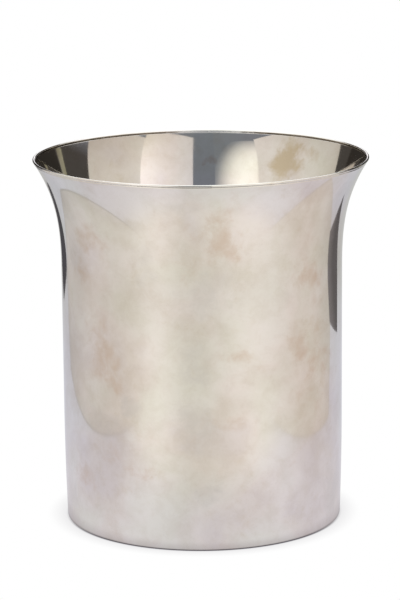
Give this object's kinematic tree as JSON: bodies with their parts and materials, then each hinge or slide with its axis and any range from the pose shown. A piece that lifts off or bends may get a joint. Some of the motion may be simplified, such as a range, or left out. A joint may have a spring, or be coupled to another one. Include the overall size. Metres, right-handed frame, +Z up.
{
  "type": "champagne bucket",
  "caption": "Cylindrical polished silver champagne bucket with a trumpet-flared mouth, thin half-round lip and flat let-in floor.",
  "frame": {"origin": "on the bucket's axis, in the plane of the table that the foot stands on", "axes": "+Z up along the bucket's axis, -Y towards the side that is seen first; every side is the same"},
  "size_m": [0.201, 0.201, 0.22],
  "materials": {
    "polished_silver": "mirror-polished silver under a thin, patchy film of tarnish",
    "floor_silver": "polished silver dulled by rubbing, ice and water marks",
    "silver_solder": "filed and polished hard silver solder, slightly yellower than the sheet"
  },
  "bodies": {
    "root": {"wall": "polished_silver", "rim_wire": "polished_silver", "rim_solder": "silver_solder", "floor_plate": "floor_silver", "floor_solder": "silver_solder", "foot_ring": "floor_silver", "foot_solder": "silver_solder"}
  },
  "joints": []
}
